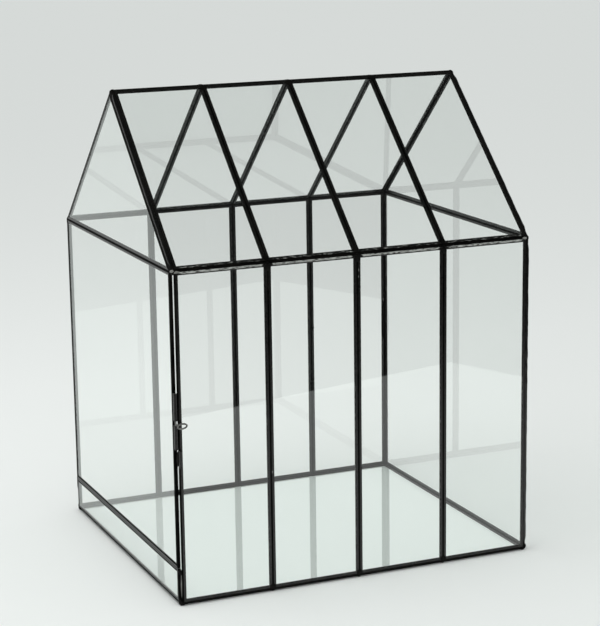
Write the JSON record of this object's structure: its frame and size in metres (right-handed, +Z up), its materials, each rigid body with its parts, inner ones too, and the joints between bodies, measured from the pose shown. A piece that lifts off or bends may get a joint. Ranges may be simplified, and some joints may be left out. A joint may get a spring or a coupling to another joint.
{
  "type": "glass greenhouse",
  "caption": "Tabletop glass greenhouse: clear panes in thin black metal channels, gabled roof, glass base, and a side-hung glass door with a small ring latch in one end.",
  "frame": {"origin": "centre of the walls' footprint, on the underside of the base", "axes": "+Z up; +X along the ridge, from the door end to the closed end; -Y toward the latch side, +Y toward the hinge side"},
  "size_m": [0.3004, 0.2704, 0.3792],
  "materials": {
    "clear_glass": "clear, polished",
    "black_channel": "satin black",
    "solder": "blackened solder, worn bright in places",
    "black_wire": "satin black, worn at the edges"
  },
  "bodies": {
    "house": {"front_wall_frame_1": "black_channel", "front_wall_frame_2": "black_channel", "front_wall_frame_3": "black_channel", "front_wall_frame_4": "black_channel", "back_wall_frame_1": "black_channel", "back_wall_frame_2": "black_channel", "back_wall_frame_3": "black_channel", "back_wall_frame_4": "black_channel", "front_roof_frame_1": "black_channel", "front_roof_frame_2": "black_channel", "front_roof_frame_3": "black_channel", "front_roof_frame_4": "black_channel", "back_roof_frame_1": "black_channel", "back_roof_frame_2": "black_channel", "back_roof_frame_3": "black_channel", "back_roof_frame_4": "black_channel", "left_gable_frame": "black_channel", "right_gable_frame": "black_channel", "right_end_frame": "black_channel", "left_sill_frame": "black_channel", "base_frame": "black_channel", "front_wall_glass": "clear_glass", "back_wall_glass": "clear_glass", "front_roof_glass": "clear_glass", "back_roof_glass": "clear_glass", "left_gable_glass": "clear_glass", "right_gable_glass": "clear_glass", "right_end_glass": "clear_glass", "left_sill_glass": "clear_glass", "base_glass": "clear_glass", "front_eave_seam": "solder", "back_eave_seam": "solder", "ridge_seam": "solder", "verge_seams": "solder", "corner_seams": "solder", "base_seams": "solder", "corner_lumps": "solder", "hinge_pin": "black_wire", "latch_keeper": "black_wire"},
    "door": {"door_frame": "black_channel", "door_glass": "clear_glass", "door_hinge_tube": "black_wire", "latch_tubes": "black_wire"},
    "latch": {"latch_ring": "black_wire"}
  },
  "joints": [
    {"name": "door_swing", "type": "hinge", "parent": "house", "child": "door", "pos_m": [-0.1486, 0.1296, 0], "axis": [0, 0, -1], "range_deg": [0, 170]},
    {"name": "latch_turn", "type": "hinge", "parent": "door", "child": "latch", "pos_m": [-0.149, -0.1299, 0], "axis": [0, 0, -1], "range_deg": [0, 120]}
  ]
}
